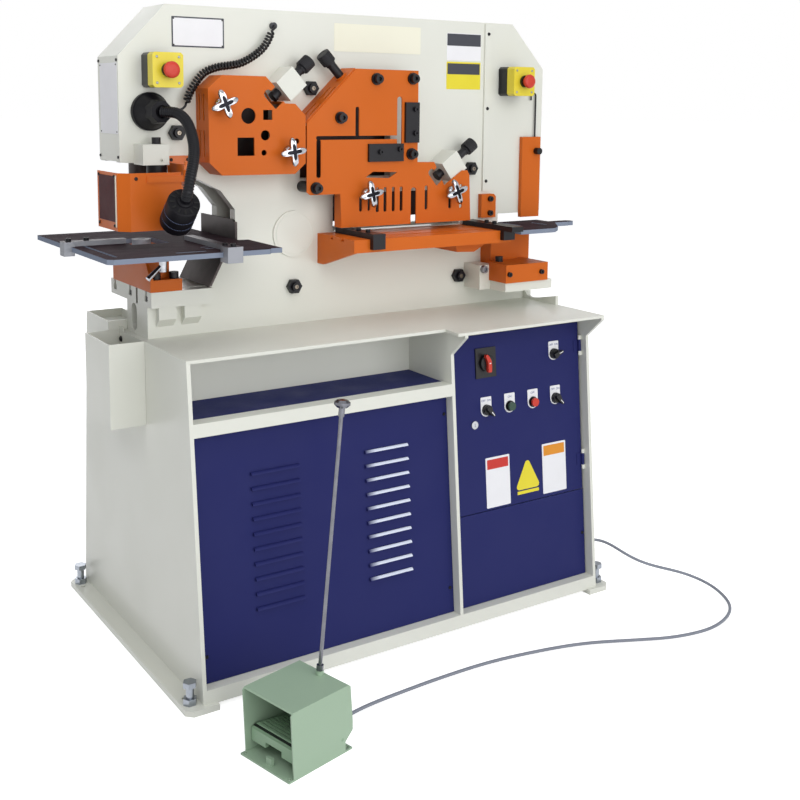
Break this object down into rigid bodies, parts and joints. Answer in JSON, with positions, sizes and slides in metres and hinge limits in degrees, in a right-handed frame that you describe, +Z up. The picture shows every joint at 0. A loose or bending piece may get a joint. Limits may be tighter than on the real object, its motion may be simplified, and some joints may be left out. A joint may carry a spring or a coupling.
{
  "type": "hydraulic ironworker",
  "caption": "Five-station hydraulic ironworker: punch, section, angle and bar shears and a notcher in one twin-plate frame on a cabinet with a foot pedal.",
  "frame": {"origin": "centre of the four anchor holes in the foot plates, on the floor", "axes": "+Z up, +X to the machine's right seen by its operator, +Y to its back"},
  "size_m": [1.7315, 1.2268, 1.6525],
  "materials": {
    "cream_paint": "gloss",
    "orange_paint": "gloss",
    "navy_paint": "gloss",
    "zinc": "zinc plated",
    "mat_blue": "matt",
    "tank_grey": "satin",
    "motor_grey": "painted",
    "black_oxide": "satin black oxide",
    "ground_steel": "ground",
    "dark_steel": "machined",
    "lamp_black": "fine texture",
    "cord_black": "satin",
    "conduit_grey": "ribbed sheath",
    "gland_black": "satin",
    "box_yellow": "yellow cover on a black base",
    "pedal_green": "satin",
    "tread_green": "satin",
    "chrome_plate": "polished",
    "switch_black": "gloss",
    "red_plastic": "gloss",
    "green_plastic": "gloss"
  },
  "bodies": {
    "machine": {"base_cabinet": "cream_paint", "levelling_bolts": "zinc", "tool_shelf_mat": "mat_blue", "cabinet_panels": "navy_paint", "slug_boxes": "cream_paint", "hydraulic_tank": "tank_grey", "pump_motor": "motor_grey", "machine_frame": "cream_paint", "frame_covers": "cream_paint", "black_fasteners": "black_oxide", "die_bolster": "orange_paint", "punch_die": "ground_steel", "punch_table": "ground_steel", "throat_fence": "ground_steel", "hydraulic_cylinders": "dark_steel", "section_guard": "orange_paint", "angle_guard": "orange_paint", "guide_blocks": "black_oxide", "shear_table": "orange_paint", "notcher_block": "orange_paint", "notcher_table": "ground_steel", "pivot_pin": "ground_steel", "lamp_arm": "lamp_black", "lamp_head": "lamp_black", "curly_cord": "cord_black", "foot_conduit": "conduit_grey", "cable_glands": "gland_black", "stop_boxes": "box_yellow", "pedal_guard": "pedal_green", "pedal_rod": "chrome_plate"},
    "control_door": {"control_door": "navy_paint", "switch_bodies": "switch_black"},
    "left_selector": {"left_selector": "switch_black"},
    "right_selector": {"right_selector": "switch_black"},
    "upper_selector": {"upper_selector": "switch_black"},
    "main_switch_lever": {"main_switch_lever": "red_plastic"},
    "door_lock": {"door_lock": "chrome_plate"},
    "start_button": {"start_button": "green_plastic"},
    "stop_button": {"stop_button": "red_plastic"},
    "left_stop_mushroom": {"left_stop_mushroom": "red_plastic"},
    "right_stop_mushroom": {"right_stop_mushroom": "red_plastic"},
    "upper_section_knob": {"upper_section_knob": "chrome_plate"},
    "lower_section_knob": {"lower_section_knob": "chrome_plate"},
    "left_shear_knob": {"left_shear_knob": "chrome_plate"},
    "right_shear_knob": {"right_shear_knob": "chrome_plate"},
    "section_hold_down": {"section_hold_down": "black_oxide"},
    "angle_hold_down": {"angle_hold_down": "black_oxide"},
    "bar_hold_down": {"bar_hold_down": "black_oxide"},
    "table_clamp_lever": {"table_clamp_lever": "chrome_plate"},
    "left_punch_gauge": {"left_punch_gauge": "ground_steel"},
    "right_punch_gauge": {"right_punch_gauge": "ground_steel"},
    "left_shear_guide": {"left_shear_guide": "black_oxide"},
    "right_shear_guide": {"right_shear_guide": "black_oxide"},
    "notcher_guard": {"notcher_guard": "orange_paint", "notcher_guard_rod": "black_oxide"},
    "punch_guard": {"punch_guard": "orange_paint"},
    "punch_ram": {"punch_ram": "ground_steel"},
    "rocker_beam": {"rocker_beam": "dark_steel"},
    "beam_ram": {"beam_ram": "ground_steel"},
    "pedal_treadle": {"pedal_treadle": "tread_green"}
  },
  "joints": [
    {"name": "door_hinge", "type": "hinge", "parent": "machine", "child": "control_door", "pos_m": [0.607, -0.35429, 0.54645], "axis": [0, 0.0906, 0.9959], "range_deg": [0, 90]},
    {"name": "left_selector_turn", "type": "hinge", "parent": "control_door", "child": "left_selector", "pos_m": [0.261, -0.34613, 0.581], "axis": [0, -0.9959, 0.0906], "range_deg": [-45, 45]},
    {"name": "right_selector_turn", "type": "hinge", "parent": "control_door", "child": "right_selector", "pos_m": [0.512, -0.34613, 0.581], "axis": [0, -0.9959, 0.0906], "range_deg": [-45, 45]},
    {"name": "upper_selector_turn", "type": "hinge", "parent": "control_door", "child": "upper_selector", "pos_m": [0.511, -0.33448, 0.709], "axis": [0, -0.9959, 0.0906], "range_deg": [-45, 45]},
    {"name": "main_switch_turn", "type": "hinge", "parent": "control_door", "child": "main_switch_lever", "pos_m": [0.263, -0.3342, 0.712], "axis": [0, -0.9959, 0.0906], "range_deg": [0, 90]},
    {"name": "door_lock_turn", "type": "hinge", "parent": "control_door", "child": "door_lock", "pos_m": [0.218, -0.3494, 0.545], "axis": [0, -0.9959, 0.0906], "range_deg": [0, 90]},
    {"name": "start_button_push", "type": "slide", "parent": "control_door", "child": "start_button", "axis": [0, 0.9959, -0.0906], "range_m": [0, 0.004], "stiffness_N_per_m": 600, "springref_m": -0.004},
    {"name": "stop_button_push", "type": "slide", "parent": "control_door", "child": "stop_button", "axis": [0, 0.9959, -0.0906], "range_m": [0, 0.004], "stiffness_N_per_m": 600, "springref_m": -0.004},
    {"name": "left_stop_mushroom_push", "type": "slide", "parent": "machine", "child": "left_stop_mushroom", "axis": [0, 1, 0], "range_m": [0, 0.006], "stiffness_N_per_m": 900, "springref_m": -0.006},
    {"name": "right_stop_mushroom_push", "type": "slide", "parent": "machine", "child": "right_stop_mushroom", "axis": [0, 1, 0], "range_m": [0, 0.006], "stiffness_N_per_m": 900, "springref_m": -0.006},
    {"name": "upper_section_knob_spin", "type": "hinge", "parent": "machine", "child": "upper_section_knob", "pos_m": [-0.437, -0.185, 1.411], "axis": [0, 1, 0], "continuous": true},
    {"name": "lower_section_knob_spin", "type": "hinge", "parent": "machine", "child": "lower_section_knob", "pos_m": [-0.248, -0.185, 1.291], "axis": [0, 1, 0], "continuous": true},
    {"name": "left_shear_knob_spin", "type": "hinge", "parent": "machine", "child": "left_shear_knob", "pos_m": [-0.011, -0.185, 1.175], "axis": [0, 1, 0], "continuous": true},
    {"name": "right_shear_knob_spin", "type": "hinge", "parent": "machine", "child": "right_shear_knob", "pos_m": [0.272, -0.185, 1.171], "axis": [0, 1, 0], "continuous": true},
    {"name": "section_hold_down_feed", "type": "slide", "parent": "machine", "child": "section_hold_down", "axis": [0.7431, 0, 0.6691], "range_m": [-0.02, 0.014]},
    {"name": "angle_hold_down_feed", "type": "slide", "parent": "machine", "child": "angle_hold_down", "axis": [-0.6924, 0, 0.7215], "range_m": [-0.02, 0.02]},
    {"name": "bar_hold_down_feed", "type": "slide", "parent": "machine", "child": "bar_hold_down", "axis": [0.809, 0, 0.5878], "range_m": [-0.03, 0.012]},
    {"name": "clamp_lever_turn", "type": "hinge", "parent": "machine", "child": "table_clamp_lever", "pos_m": [-0.578, -0.112, 1.01], "axis": [0, 0, 1], "range_deg": [-25, 110]},
    {"name": "left_punch_gauge_slide", "type": "slide", "parent": "machine", "child": "left_punch_gauge", "axis": [0, 1, 0], "range_m": [-0.2, 0.06]},
    {"name": "right_punch_gauge_slide", "type": "slide", "parent": "machine", "child": "right_punch_gauge", "axis": [1, 0, 0], "range_m": [-0.03, 0.08]},
    {"name": "left_shear_guide_slide", "type": "slide", "parent": "machine", "child": "left_shear_guide", "axis": [1, 0, 0], "range_m": [-0.03, 0.08]},
    {"name": "right_shear_guide_slide", "type": "slide", "parent": "machine", "child": "right_shear_guide", "axis": [1, 0, 0], "range_m": [-0.1, 0]},
    {"name": "notcher_guard_lift", "type": "slide", "parent": "machine", "child": "notcher_guard", "axis": [0, 0, 1], "range_m": [0, 0.04]},
    {"name": "punch_guard_hinge", "type": "hinge", "parent": "machine", "child": "punch_guard", "pos_m": [-0.552, -0.203, 1.24], "axis": [0, 0, 1], "range_deg": [0, 20]},
    {"name": "punch_ram_stroke", "type": "slide", "parent": "machine", "child": "punch_ram", "axis": [0, 0, -1], "range_m": [0, 0.045]},
    {"name": "rocker_beam_pivot", "type": "hinge", "parent": "machine", "child": "rocker_beam", "pos_m": [-0.192, 0, 1.068], "axis": [0, 1, 0], "range_deg": [0, 3]},
    {"name": "beam_ram_stroke", "type": "slide", "parent": "machine", "child": "beam_ram", "axis": [0, 0, -1], "range_m": [0, 0.0335]},
    {"name": "treadle_press", "type": "hinge", "parent": "machine", "child": "pedal_treadle", "pos_m": [-0.45582, -0.67359, 0.034], "axis": [0.2334, -0.9724, 0], "range_deg": [0, 8], "stiffness_Nm_per_rad": 8, "springref_deg": -28.65}
  ],
  "couplings": [
    {"joint": "beam_ram_stroke", "follows": "rocker_beam_pivot", "m_per_rad": 0.634}
  ]
}
